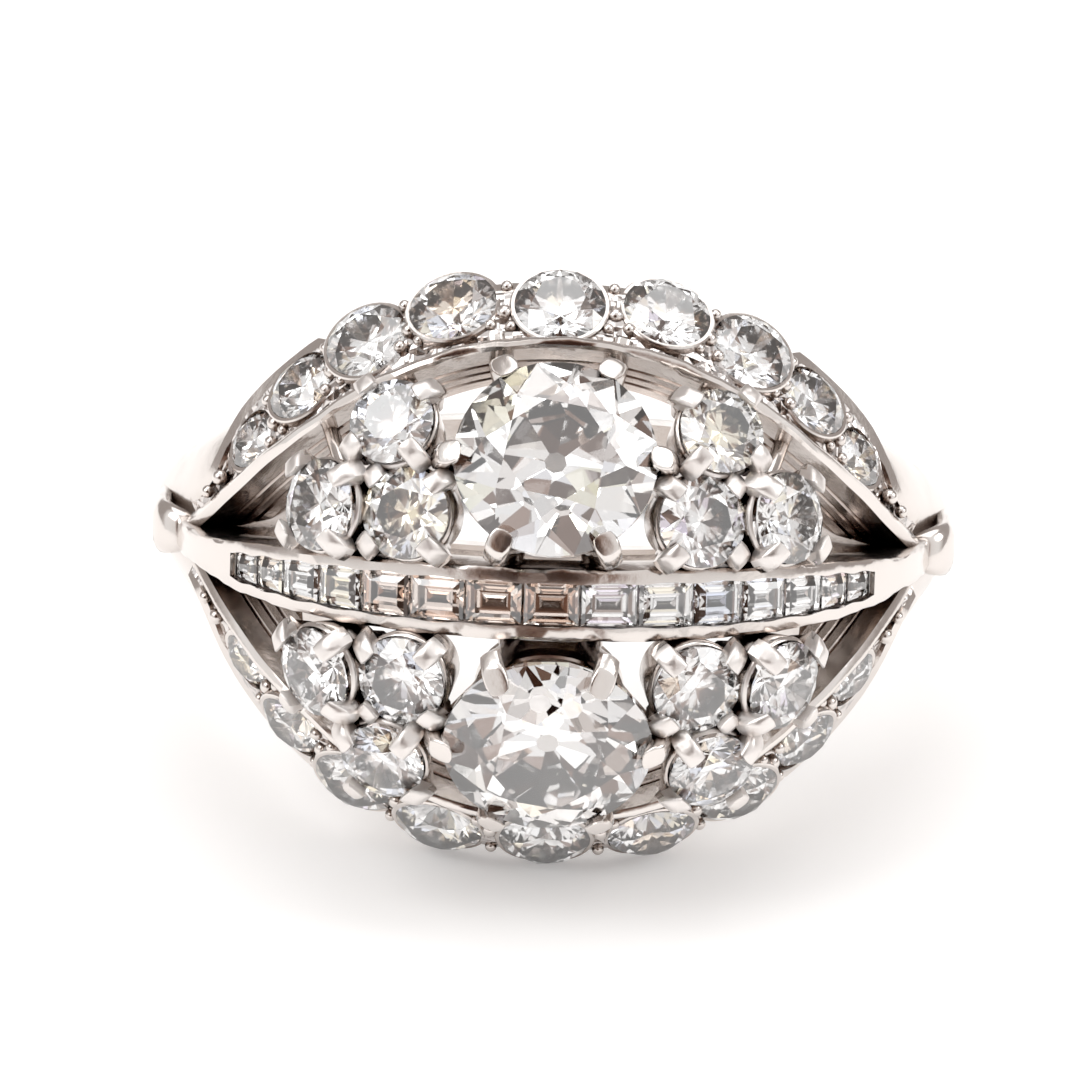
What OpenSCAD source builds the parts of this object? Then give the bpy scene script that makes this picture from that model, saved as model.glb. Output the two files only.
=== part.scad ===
// Dome cocktail ring in white metal. Two large round stones stand one above the other on a domed head, and a
// curved channel of step-cut stones runs between them from shoulder to shoulder. Three claw-set stones stand in
// each corner, and a scalloped border of bead-set stones closes the head above and below.
//
// Everything is drawn in the ring's own frame: origin in the middle of the finger hole, X across the head,
// Y along the finger, Z out through the head. The last module lays the ring on its side as it rests.

/* [Finger hole and shank] */
// Radius of the finger hole
bore_r = 8.6; // [8.4:0.1:8.8]
// Half the width of the shank at the back
back_half_w = 1.4; // [1.2:0.1:1.6]
// Thickness of the shank at the back, in its middle
back_t = 1.4; // [1.2:0.1:1.8]
// Thickness of the shank at its edges
edge_t = 0.9; // [0.7:0.1:1]
// Half the width of the shank where it meets the head
shoulder_half_w = 1.8; // [1.7:0.05:1.9]
// Thickness of the shank where it meets the head, in its middle
shoulder_t = 1.95; // [1.85:0.05:2]

/* [Large stones] */
// Diameter of the two large stones
main_d = 5.07; // [4.9:0.01:5.2]
// Distance of a large stone from the middle of the head along the finger
main_y = 3.6; // [3.5:0.05:3.8]
// Height of a large stone's girdle above the finger's axis
main_z = 14.3; // [14.2:0.05:14.6]
// Tilt of a large stone away from the middle of the head, in degrees
main_tilt = 28; // [26:1:30]

/* [Channel] */
// Radius of the channel's arch over the head
arch_r = 9.6; // [9.4:0.1:9.8]
// Height of the channel's top above the finger's axis
arch_top = 14.7; // [14.6:0.05:14.8]
// Width of the channel over both rails, in the middle of the head
channel_w = 1.84; // [1.8:0.01:1.9]
// Thickness of a channel rail, in the middle of the head
channel_rail = 0.36; // [0.32:0.01:0.38]
// Depth of the channel from its rails to its underside
channel_depth = 1.35; // [1.3:0.05:1.4]

/* [Border] */
// Radius of the dome on which the border stones lie
dome_r = 9.1; // [9:0.05:9.2]
// Height of the dome's centre above the finger's axis
dome_z = 4.06; // [4:0.02:4.1]
// Width of the metal rim round a border stone
rim = 0.24; // [0.22:0.01:0.26]
// Depth of the border behind the face of its stones
border_t = 1.1; // [1:0.05:1.15]
// Thickness of the polished rail along the border's inner edge
rail_t = 0.36; // [0.3:0.02:0.4]

/* [Settings] */
// Clearance between a stone and its seat
seat_gap = 0.04; // [0.03:0.01:0.05]
// Radius of a large stone's claw
main_claw_r = 0.27; // [0.25:0.01:0.3]
// Radius of a small stone's claw
small_claw_r = 0.2; // [0.18:0.01:0.22]

/* [Hidden] */
// Border stones from the middle of the head outwards: x, y, diameter, tilt of the face away from Z in degrees
BORDER = [
    [0.00, 6.80, 2.20, 48.35],
    [2.68, 6.62, 2.15, 53],
    [4.82, 5.63, 2.10, 50],
    [6.43, 4.33, 1.85, 58],
    [7.62, 2.82, 1.50, 61]];
// Claw-set stones of one corner: name, x, y, z, diameter, lean towards X, lean towards Y
CORNER = [
    ["near", 3.68, 2.12, 14.15, 2.20, 22, 12],
    ["side", 5.85, 2.12, 13.25, 2.20, 45, 15],
    ["far",  4.10, 4.30, 13.46, 2.10, 22, 30]];
// Lengths of the channel stones along the arch, from the middle one outwards
CHANNEL_L = [1.36, 1.38, 1.38, 1.28, 1.22, 1.16, 0.92, 0.86];
// The four corners of the head: name, side across, side along the finger
QUARTERS = [["upper_left", -1, 1], ["upper_right", 1, 1], ["lower_left", -1, -1], ["lower_right", 1, -1]];
HALVES = [["upper", 1], ["lower", -1]];

dome_c = [0, 0, dome_z];
arch_z = arch_top - arch_r;
// The channel narrows by this much on the way to this angle along the arch, and its rails get thinner
channel_gap = 0.1;
channel_narrow = 1.04;
channel_narrow_to = 68;
channel_rail_end = 0.25;
groove_depth = 0.95;
channel_tip = 94;
// Seen from above, the border stones lie along an arc that ends in a straight stretch to the shoulder's tip
border_arc_r = 9.42;
border_arc_y = -2.5;
border_top_y = 6.85;
border_turn_x = 8;
border_turn_slope = 1.37;
border_end_x = 9.25;
// Towards its end the border's outer edge rises off the dome, and its plate turns from a shelf into a solid end
border_end_rise = 0.5;
border_rise_x = 7.2;
border_rise_l = 2.1;
border_solid_x = 6.2;
border_solid_l = 2.3;
cup_sides = 10;
cup_lip = 0.03;
cup_depth = 0.84;
bead_r = 0.26;
bead_out = 0.62;
bead_up = 0.08;
// The rail follows a curve of this power on a slightly larger dome
rail_end_x = 9.35;
rail_far_x = 9.1;
rail_top_y = 6.0;
rail_power = 2.15;
rail_r = 9.4;
rail_depth = 1.5;
// The wall below the border reaches this radius and is this thick
wall_foot_r = 8.5;
wall_t = 0.75;
wall_end_t = 0.45;
// The shank starts to widen at this angle from its back, and ends inside the head
shank_widens = 60;
shank_full = 113;
shank_end = 126;
shoulder_edge_t = 0.45;
hoop_half_w = 0.45;
hoop_t = 0.75;
underside_r = bore_r + 0.27;

// Vector helpers
function unit(v) = v / norm(v);
function mix(a, b, t) = a + (b - a) * t;
function smooth(t) = let (u = max(0, min(1, t))) u * u * (3 - 2 * u);
function mirrored(v, side) = [v[0] * side[0], v[1] * side[1], v[2]];
function sum_to(list, n) = n < 0 ? 0 : list[n] + sum_to(list, n - 1);

// A ring of points round a centre: u and v span its plane
function ring_of(c, u, v, r, n) = [for (i = [0 : n - 1]) c + r * (u * cos(360 * i / n) + v * sin(360 * i / n))];

// A solid through a row of rings that all have the same number of points
function middle(ring) = [for (r = ring) 1] * ring / len(ring);
function area(ring, i = 1) = i > len(ring) - 2 ? [0, 0, 0]
    : cross(ring[i] - ring[0], ring[i + 1] - ring[0]) + area(ring, i + 1);
module loft(rings) {
    n = len(rings[0]);
    m = len(rings);
    sides = [for (j = [0 : m - 2]) for (i = [0 : n - 1])
        let (a = j * n + i, b = j * n + (i + 1) % n, c = b + n, d = a + n) each [[a, c, b], [a, d, c]]];
    faces = concat([[for (i = [0 : n - 1]) i], [for (i = [n - 1 : -1 : 0]) (m - 1) * n + i]], sides);
    onward = area(rings[0]) * (middle(rings[1]) - middle(rings[0])) > 0;
    polyhedron(points = [for (r = rings) each r], convexity = 8,
        faces = onward ? faces : [for (f = faces) [for (i = [len(f) - 1 : -1 : 0]) f[i]]]);
}

// Turns what is drawn along +Z so that it stands at a point and looks along a direction, its X kept level
module stand(at, n) {
    x = unit(cross([0, 1, 0], n));
    y = cross(n, x);
    multmatrix([[x[0], y[0], n[0], at[0]], [x[1], y[1], n[1], at[1]], [x[2], y[2], n[2], at[2]], [0, 0, 0, 1]])
        children();
}

// Where the stones stand and which way they look
function lean(ax, ay) = unit([tan(ax), tan(ay), 1]);
function on_dome(x, y, r) = [x, y, dome_z + sqrt(r * r - x * x - y * y)];
function border_at(k) = on_dome(BORDER[k][0], BORDER[k][1], dome_r);
function border_n(k) = let (o = unit([BORDER[k][0], BORDER[k][1] - border_arc_y, 0]), tilt = BORDER[k][3])
    o * sin(tilt) + [0, 0, cos(tilt)];
function main_at(s) = [0, s * main_y, main_z];
function main_n(s) = lean(0, s * main_tilt);

// Round stone: a table with eight edges, a crown, a girdle and a pavilion that ends in a point
crown_h = 0.15;
girdle_h = 0.03;
pavilion_h = 0.42;
table_r = 0.56;
module round_stone(d) {
    r = d / 2;
    tier = function(radius, z, n) ring_of([0, 0, z], [1, 0, 0], [0, 1, 0], radius, n);
    crown = [for (i = [0 : 7]) let (t = (i + 1) % 8, g = 8 + 2 * i, h = 8 + (2 * i + 2) % 16)
        each [[i, g + 1, g], [i, t, g + 1], [t, h, g + 1]]];
    girdle = [for (i = [0 : 15]) let (j = (i + 1) % 16) each [[8 + i, 24 + j, 24 + i], [8 + i, 8 + j, 24 + j]]];
    pavilion = [for (i = [0 : 15]) [24 + i, 24 + (i + 1) % 16, 40]];
    polyhedron(
        points = concat(tier(table_r * r, crown_h * d, 8), tier(r, girdle_h * d / 2, 16),
            tier(r, -girdle_h * d / 2, 16), [[0, 0, -pavilion_h * d]]),
        faces = concat([[for (i = [7 : -1 : 0]) i]], crown, girdle, pavilion));
}

// Step-cut stone of the channel: a table, a step of crown, a girdle and a pavilion with a small flat end
step_flat = 0.06;
module step_stone(l, w_near, w_far) {
    tier = function(k, z) [for (c = [[-1, -1], [1, -1], [1, 1], [-1, 1]]) let (w = c[0] < 0 ? w_near : w_far)
        [c[0] * (l / 2 - k), c[1] * max(w / 2 - k, step_flat), z]];
    loft([tier(0.38, -0.62), tier(0, -0.06), tier(0, 0), tier(0.2, 0.13)]);
}

// Widths of the channel and of its groove at an angle along the arch
function band_w(a) = channel_w - channel_narrow * pow(min(abs(a) / channel_narrow_to, 1), 3);
function groove_w(a) = band_w(a) - 2 * mix(channel_rail, channel_rail_end, min(abs(a) / channel_narrow_to, 1));

// Angle of a length along the arch, of channel stone k from the middle, and of the groove's end
function along_arch(l) = l / arch_r * 180 / PI;
function channel_angle(k) = k == 0 ? 0
    : along_arch(sum_to(CHANNEL_L, k - 1) - CHANNEL_L[0] / 2 + CHANNEL_L[k] / 2 + k * channel_gap);
channel_end = channel_angle(7) + along_arch(CHANNEL_L[7] / 2 + 0.06);

module channel_stones() {
    color("white")
        for (k = [-7 : 7])
            let (l = CHANNEL_L[abs(k)], a = sign(k) * channel_angle(abs(k)), turn = along_arch(l / 2))
                translate([0, 0, arch_z]) rotate([0, a, 0]) translate([0, 0, arch_r - 0.2])
                    step_stone(l, groove_w(a - turn) - 2 * seat_gap, groove_w(a + turn) - 2 * seat_gap);
}

module main_stone(s) {
    color("ivory") stand(main_at(s), main_n(s)) round_stone(main_d);
}

module corner_stone(row, side) {
    color("white") stand(mirrored([row[1], row[2], row[3]], side), mirrored(lean(row[5], row[6]), side))
        round_stone(row[4]);
}

module border_stone(k, sx, sy) {
    color("white") stand(mirrored(border_at(k), [sx, sy]), mirrored(border_n(k), [sx, sy]))
        round_stone(BORDER[k][2]);
}

// Shank: a domed band that widens and thickens from the back to the shoulders
function shank_section(a) =
    let (t = smooth((abs(a) - shank_widens) / (shank_full - shank_widens)), out = [sin(a), 0, -cos(a)],
        w = mix(back_half_w, shoulder_half_w, t),
        mid = bore_r + mix(back_t, shoulder_t, t), edge = bore_r + mix(edge_t, shoulder_edge_t, t))
    concat([(bore_r - 0.3) * out + [0, w, 0], (bore_r - 0.3) * out - [0, w, 0]],
        [for (i = [-3 : 3]) (edge + (mid - edge) * cos(30 * i)) * out + [0, w * sin(30 * i), 0]]);
module shank() {
    loft([for (i = [-12 : 12]) shank_section(shank_end * i / 12)]);
}

// Inner hoop: carries the finger hole on under the head as a full circle
module hoop() {
    loft([for (i = [-6 : 6]) let (a = 180 + 12.5 * i, out = [sin(a), 0, -cos(a)])
        [(bore_r - 0.3) * out + [0, hoop_half_w, 0], (bore_r - 0.3) * out - [0, hoop_half_w, 0],
         (bore_r + hoop_t) * out - [0, hoop_half_w, 0], (bore_r + hoop_t) * out + [0, hoop_half_w, 0]]]);
}

// Rounded ridge on the outside of a shoulder, which ends in a round nose below the channel's end plate
module ridge(sx) {
    // Angle above X, outer radius and half the width of each section
    rise = [[-28, 9.9, 0.3], [-8, 10.2, 0.5], [8, 10.35, 0.62], [16, 10.65, 0.7], [22, 11.1, 0.7], [27, 11.5, 0.7],
        [30, 11.45, 0.62], [32, 11.1, 0.4]];
    // Depth and share of the half width, round one section with a neck below its rounded head
    half = [[-1.3, 0.5], [-0.6, 0.5], [-0.5, 0.95], [-0.2, 1], [0, 0.6]];
    outline = concat([for (i = [4 : -1 : 0]) half[i]], [for (c = half) [c[0], -c[1]]]);
    loft([for (s = rise) let (out = [sx * cos(s[0]), 0, sin(s[0])])
        [for (c = outline) (s[1] + c[0]) * out + [0, sx * s[2] * c[1], 0]]]);
}

// Channel: an arched band with a groove for the stones, plain at both ends
function arch_out(a) = [sin(a), 0, cos(a)];
function band_section(a, w, lo, hi) =
    let (low = [0, 0, arch_z] + lo * arch_out(a), high = low + (hi - lo) * arch_out(a), y = [0, w / 2, 0])
    [low + y, low - y, high - y, high + y];
module channel() {
    difference() {
        loft([for (i = [-10 : 10]) let (a = channel_tip * i / 10)
            band_section(a, band_w(a), arch_r - channel_depth, arch_r)]);
        loft([for (i = [-8 : 8]) let (a = channel_end * i / 8)
            band_section(a, groove_w(a), arch_r - groove_depth, arch_r + 0.2)]);
    }
}

// Border: one cast body with a polished rail along its inner edge, a plate that holds the stones and a wall below
// it that reaches the finger hole and runs into the shank. A cup stands round each stone.
function arc_y(x) = border_arc_y + sqrt(border_arc_r * border_arc_r - x * x);
function plan_y(x) = x < border_turn_x ? arc_y(x)
    : arc_y(border_turn_x) - border_turn_slope * (x - border_turn_x);
function border_line(x) = on_dome(x, min(plan_y(x), border_top_y),
    dome_r + border_end_rise * smooth((x - border_rise_x) / border_rise_l));
function border_frame(x) = let (p = border_line(x), n = unit(p - dome_c), t = unit(border_line(x + 0.01) - p))
    [p, n, unit(cross(n, t))];
function rail_at(x) = on_dome(x, rail_top_y * (1 - pow(x / rail_end_x, rail_power)), rail_r);
function rail_frame(x) = let (p = rail_at(x), n = unit(p - dome_c), t = unit(rail_at(x + 0.01) - p))
    [p, n, unit(cross(n, t))];
// Section of the border at s, from -1 at one shoulder over 0 in the middle to 1 at the other shoulder
function border_section(s) = let (
    m = [s < 0 ? -1 : 1, 1], b = border_frame(abs(s) * border_end_x), r = rail_frame(abs(s) * rail_far_x),
    full = 1 - smooth((abs(s) * border_end_x - border_solid_x) / border_solid_l), h = rail_t / 2,
    edge = b[0] + b[2] * mix(0.25, 0.86, full) - b[1] * mix(0, 0.1, full), bulge = (1 - full) * (1 - pow(abs(s), 12)),
    under = edge - b[1] * border_t + bulge * [1.05, -0.3, -1.3],
    wall = b[0] + b[2] * mix(0.2, 0.5, full) - b[1] * mix(1.7, border_t, full),
    low = function(q) let (k = wall_foot_r / norm([q[0], q[2]])) [q[0] * k, q[1] - 0.2, q[2] * k],
    thick = [0, mix(wall_end_t, wall_t, full), 0])
    [for (v = [r[0] - r[2] * h - r[1] * rail_depth, r[0] - r[2] * h + r[1] * 0.1, r[0] + r[1] * 0.24,
        r[0] + r[2] * h + r[1] * 0.1, r[0] + r[2] * h - r[1] * mix(0.04, 0.2, full), edge, under, low(wall),
        low(wall) - thick, wall - thick]) mirrored(v, m)];

module at_border(k, sx) {
    stand(mirrored(border_at(k), [sx, 1]), mirrored(border_n(k), [sx, 1])) children();
}
module border_half() {
    difference() {
        union() {
            loft([for (i = [-8 : 8]) border_section(sin(11.25 * i))]);
            for (k = [-4 : 4]) at_border(abs(k), k < 0 ? -1 : 1) translate([0, 0, -cup_depth])
                cylinder(h = cup_depth + cup_lip, r = BORDER[abs(k)][2] / 2 + rim, $fn = cup_sides);
        }
        for (k = [-4 : 4]) at_border(abs(k), k < 0 ? -1 : 1) {
            r = (BORDER[abs(k)][2] / 2 + seat_gap) / cos(180 / cup_sides);
            rotate_extrude($fn = cup_sides) polygon([[0, -1.08], [r, -0.08], [r, 0.5], [0, 0.5]]);
        }
    }
    beads();
}
// Beads raised between neighbouring stones, which hold their edges
module beads() {
    for (k = [0 : 3]) for (sx = [-1, 1]) {
        a = border_at(k);
        b = border_at(k + 1);
        n = unit((a + b) / 2 - dome_c);
        o = unit(cross(n, b - a));
        mid = mix(a, b, BORDER[k][2] / (BORDER[k][2] + BORDER[k + 1][2]));
        for (side = [-1, 1])
            translate(mirrored(mid + o * side * bead_out + n * bead_up, [sx, 1])) sphere(r = bead_r, $fn = 4);
    }
}

// A claw that leans on a stone from below: rises beside the pavilion to its top and bends over the crown
module claw(r, angle, thick, foot, foot_r, top, sides) {
    out = [cos(angle), sin(angle), 0];
    // A flat side of the claw faces the stone
    turn = angle + (sides % 2 == 0 ? 180 / sides : 0);
    u = [cos(turn), sin(turn), 0];
    v = [-sin(turn), cos(turn), 0];
    spine = [[foot_r, -foot, 0.85], [r + 1.1 * thick, -0.1, 1], [r - 0.2 * thick, top, 0.8]];
    loft([for (s = spine) ring_of(out * s[0] + [0, 0, s[1]], u, v, thick * s[2], sides)]);
}

// Radii of a large stone's gallery rings, as a share of its seat's
gallery_upper = 0.83;
gallery_lower = 0.62;
// Basket of a large stone: two gallery rings and six claws, tied to the border's rail and to the channel
module gallery_ring(r, z, w, h, fn) {
    translate([0, 0, z]) rotate_extrude($fn = fn) translate([r, 0]) square([w, h], center = true);
}
module main_basket(s) {
    r = main_d / 2 + seat_gap;
    stand(main_at(s), main_n(s)) {
        gallery_ring(r * gallery_upper, -1.02, 0.34, 0.4, 12);
        gallery_ring(r * gallery_lower, -2.2, 0.55, 0.4, 8);
        for (i = [0 : 5]) claw(r, 60 * i, main_claw_r, 2.35, r * gallery_lower, 0.48, 5);
    }
    for (sx = [-1, 1]) {
        strut([sx * 1.1, s * 4.1, 11.75], [sx * 1.6, s * 6.0, 10.6], wire_r);
        strut([sx * 1.0, s * 2.0, 12.4], [sx * 1.0, s * 0.6, 13.6], wire_r);
    }
}

// Straight wire between two points
wire_r = 0.3;
module strut(a, b, r) {
    n = unit(b - a);
    u = unit(cross(n, abs(n[2]) > 0.9 ? [1, 0, 0] : [0, 0, 1]));
    loft([for (p = [a, b]) ring_of(p, u, cross(n, u), r, 4)]);
}

// Basket of a corner stone: a tapered collet with four claws
module corner_basket(row, side) {
    r = row[4] / 2 + seat_gap;
    stand(mirrored([row[1], row[2], row[3]], side), mirrored(lean(row[5], row[6]), side)) {
        rotate_extrude($fn = 8) polygon([[r * 0.86, -0.36], [r + 0.05, -0.3], [r * 0.8, -1.6], [r * 0.65, -1.6]]);
        for (i = [0 : 3]) claw(r, 45 + 90 * i, small_claw_r, 0.75, r * 0.9, 0.38, 4);
    }
}
// Wires under one corner, which tie its three baskets to the channel and to the border's rail
module corner_wires(side) {
    base = [for (row = CORNER) [row[1], row[2], row[3]] - 1.3 * lean(row[5], row[6])];
    channel_foot = [for (k = [0, 1])
        [base[k][0], 0.5, arch_z + sqrt(pow(arch_r - 0.8, 2) - pow(base[k][0], 2))]];
    for (w = [[2, [3.7, 5.2, 10.4]], [2, channel_foot[0]], [1, channel_foot[1]], [1, [5.8, 3.8, 9.6]]])
        strut(mirrored(base[w[0]], side), mirrored(w[1], side), wire_r);
}

// All the metal is one soldered piece with a round finger hole
module ring_mount() {
    color("gainsboro") difference() {
        resize([0, 0, 0]) difference() {
            union() {
                shank();
                hoop();
                channel();
                for (sx = [-1, 1]) ridge(sx);
                for (sy = [0, 1]) mirror([0, sy, 0]) border_half();
                for (half = HALVES) main_basket(half[1]);
                for (q = QUARTERS) {
                    for (row = CORNER) corner_basket(row, [q[1], q[2]]);
                    corner_wires([q[1], q[2]]);
                }
            }
            for (s = [-1, 1]) translate([0, s * (back_half_w + 5), 0]) rotate([90, 3.75, 0])
                cylinder(h = 10, r = underside_r, center = true, $fn = 48);
        }
        rotate([90, 0, 0]) cylinder(h = 30, r = bore_r, center = true, $fn = 96);
    }
}

// The ring rests on its lower border's middle cup and on the edge of the shank's back
contact_n = border_n(0);
contact_r = (BORDER[0][2] / 2 + rim) * cos(180 / cup_sides);
contact_y = border_at(0)[1] + contact_r * contact_n[2] + cup_lip * contact_n[1];
contact_z = border_at(0)[2] - contact_r * contact_n[1] + cup_lip * contact_n[2];
rest_tilt = atan((contact_y - back_half_w) / (contact_z + bore_r + edge_t));
rest_lift = contact_y * cos(rest_tilt) - contact_z * sin(rest_tilt);
// Brings the middle of the ring's box over the origin
rest_shift = 2.96;
module rest() {
    translate([0, rest_shift, rest_lift]) rotate([90 - rest_tilt, 0, 0]) children();
}

rest() ring_mount();
rest() channel_stones();
for (half = HALVES)
    rest() main_stone(half[1]);
for (q = QUARTERS) for (row = CORNER)
    rest() corner_stone(row, [q[1], q[2]]);
for (half = HALVES) for (i = [1 : 9])
    rest() border_stone(abs(i - 5), i < 5 ? -1 : 1, half[1]);
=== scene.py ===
# Dome cocktail ring in platinum with old-cut diamonds, lying on its side as it rests on a table.
# The pieces follow the real ring from the finger outwards: shank, borders, channel, settings and stones.
import math
import random

import bmesh
import bpy
from mathutils import Matrix, Vector


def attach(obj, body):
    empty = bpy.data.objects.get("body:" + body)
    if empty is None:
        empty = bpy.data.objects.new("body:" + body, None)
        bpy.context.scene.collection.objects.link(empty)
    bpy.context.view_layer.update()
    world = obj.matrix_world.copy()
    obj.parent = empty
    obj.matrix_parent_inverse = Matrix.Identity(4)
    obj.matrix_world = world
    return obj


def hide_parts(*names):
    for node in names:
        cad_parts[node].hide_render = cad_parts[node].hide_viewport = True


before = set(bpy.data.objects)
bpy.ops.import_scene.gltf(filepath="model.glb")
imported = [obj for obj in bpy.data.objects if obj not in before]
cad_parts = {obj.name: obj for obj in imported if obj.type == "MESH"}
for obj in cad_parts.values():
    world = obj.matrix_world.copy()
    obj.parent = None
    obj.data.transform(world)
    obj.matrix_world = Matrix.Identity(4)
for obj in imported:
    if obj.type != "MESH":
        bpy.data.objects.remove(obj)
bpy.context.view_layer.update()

# Lay of the ring. Each piece is made upright in millimetres, from the middle of the finger hole: X across the
# head, Y along the finger, Z out through the head. LAY turns it on its side, brings it to metres, and puts
# the middle of the hole in its place over the table.
rest_tilt = math.radians(18.5575)
hole_middle = (0, 0.00296, 0.0043506)
LAY = (Matrix.Translation(hole_middle) @ Matrix.Rotation(math.pi / 2 - rest_tilt, 4, "X")
       @ Matrix.Scale(0.001, 4))

# Camera. It looks at the head from straight in front, ten degrees above square to it and turned a little,
# from about 30 cm away, with the head slightly below the middle of a square picture.
view_down = math.radians(10.32)
view_roll = math.radians(1.68)
view_distance = 310
picture_side = 1080
mm_per_pixel = 0.02482
aim_pixel = (551.55, 600.53)
aim = Vector((0, 0, 14))
back = Vector((0, math.sin(view_down), math.cos(view_down)))
level = Vector((0, math.cos(view_down), -math.sin(view_down)))
across = Vector((1, 0, 0)) * math.cos(view_roll) + level * math.sin(view_roll)
upward = level * math.cos(view_roll) - Vector((1, 0, 0)) * math.sin(view_roll)
turn = LAY.to_3x3().normalized()
camera_data = bpy.data.cameras.new("camera")
camera_data.sensor_width = 36
camera_data.lens = camera_data.sensor_width * view_distance / (picture_side * mm_per_pixel)
camera_data.shift_x = (picture_side / 2 - aim_pixel[0]) / picture_side
camera_data.shift_y = (aim_pixel[1] - picture_side / 2) / picture_side
camera_data.clip_start = 0.01
camera = bpy.data.objects.new("camera", camera_data)
bpy.context.scene.collection.objects.link(camera)
camera.matrix_world = Matrix.Translation(LAY @ (aim + back * view_distance)) @ Matrix(
    [turn @ across, turn @ upward, turn @ back]).transposed().to_4x4()
bpy.context.scene.camera = camera
# The picture is developed light and clear, as a jeweller's pictures are
bpy.context.scene.view_settings.view_transform = "Standard"
bpy.context.scene.view_settings.gamma = 1.2


# Studio. A white tent lights the ring from all round, with the warm dark of the room in the opening that the
# camera looks through. The pale table is matt, so the ring throws only a soft shadow on it.
def finish_colour(code):
    """The linear colour of an sRGB hex code."""
    parts = [int(code[i:i + 2], 16) / 255 for i in (1, 3, 5)]
    return [c / 12.92 if c <= 0.04045 else ((c + 0.055) / 1.055) ** 2.4 for c in parts] + [1]


def add_node(tree, kind, inputs=None, stops=(), **settings):
    """Adds a node; an input that is given a socket is linked to it, and any other is set.

    Stops are the positions and hex colours of a colour ramp.
    """
    made = tree.nodes.new(kind)
    for name, value in settings.items():
        setattr(made, name, value)
    for name, value in (inputs or {}).items():
        if isinstance(value, bpy.types.NodeSocket):
            tree.links.new(value, made.inputs[name])
        else:
            made.inputs[name].default_value = value
    if stops:
        elements = made.color_ramp.elements
        while len(elements) < len(stops):
            elements.new(1)
        for element, (position, code) in zip(elements, stops):
            element.position = position
            element.color = finish_colour(code)
    return made


tent = bpy.data.worlds.new("light_tent")
bpy.context.scene.world = tent
tent.use_nodes = True
tent.node_tree.nodes.clear()
opening = turn @ Vector((-0.08, 0.12, 1)).normalized()
tent_direction = add_node(tent.node_tree, "ShaderNodeTexCoord").outputs["Generated"]
towards_opening = add_node(tent.node_tree, "ShaderNodeVectorMath",
                           {0: tent_direction, 1: opening}, operation="DOT_PRODUCT").outputs["Value"]
tent_colour = add_node(tent.node_tree, "ShaderNodeValToRGB", {"Fac": towards_opening}, stops=[
    (0.0, "#A29A96"), (0.2, "#D8D3D0"), (0.36, "#FFFFFF"), (0.86, "#F8F4F2"), (0.925, "#8A6A5A"),
    (0.97, "#2E1A12")]).outputs["Color"]
tent_light = add_node(tent.node_tree, "ShaderNodeBackground", {"Color": tent_colour, "Strength": 0.95})
add_node(tent.node_tree, "ShaderNodeOutputWorld", {"Surface": tent_light.outputs["Background"]})

head_height = 0.007
for name, place, side, power in (
        ("left_softbox", (-0.22, -0.12, 0.3), 0.22, 0.5),
        ("right_softbox", (0.26, -0.02, 0.2), 0.15, 0.25),
        ("top_softbox", (0.02, 0.1, 0.34), 0.3, 0.5)):
    light = bpy.data.lights.new(name, "AREA")
    light.shape = "SQUARE"
    light.size = side
    light.energy = power
    light_object = bpy.data.objects.new(name, light)
    bpy.context.scene.collection.objects.link(light_object)
    light_object.location = place
    towards_head = Vector((0, 0, head_height)) - Vector(place)
    light_object.rotation_euler = towards_head.to_track_quat("-Z", "Y").to_euler()

table_paper = bpy.data.materials.new("matt_white_paper")
table_paper.use_nodes = True
table_shader = table_paper.node_tree.nodes["Principled BSDF"]
table_shader.inputs["Base Color"].default_value = finish_colour("#F4F3F2")
table_shader.inputs["Roughness"].default_value = 0.9
# Light comes through the paper from below, as on a photographer's light table
table_shader.inputs["Emission Color"].default_value = finish_colour("#FFFFFF")
table_shader.inputs["Emission Strength"].default_value = 0.2
table_mesh = bpy.data.meshes.new("table_top")
table_form = bmesh.new()
bmesh.ops.create_circle(table_form, cap_ends=True, segments=64, radius=1.5)
table_form.to_mesh(table_mesh)
table_form.free()
table_mesh.materials.append(table_paper)
table_top = bpy.data.objects.new("table_top", table_mesh)
bpy.context.scene.collection.objects.link(table_top)


# Shank. A platinum band, narrow and domed at the back, that widens and thickens to the shoulders. It is cast
# with the head, filed round and polished on a felt wheel, which leaves soft edges and faint wear marks.
def skin(rings):
    """A closed form through a row of rings of points, each bridged to the next, with both ends filled."""
    form = bmesh.new()
    loops = []
    for ring in rings:
        corners = [form.verts.new(p) for p in ring]
        loops.append([form.edges.new((corners[i - 1], corners[i])) for i in range(len(corners))])
    for near, far in zip(loops, loops[1:]):
        bmesh.ops.bridge_loops(form, edges=near + far)
    bmesh.ops.holes_fill(form, edges=[e for e in form.edges if e.is_boundary])
    bmesh.ops.recalc_face_normals(form, faces=form.faces)
    return form


def place_form(form, matrix):
    """Moves a form by a matrix and gives it back."""
    bmesh.ops.transform(form, matrix=matrix, verts=form.verts)
    return form


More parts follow.
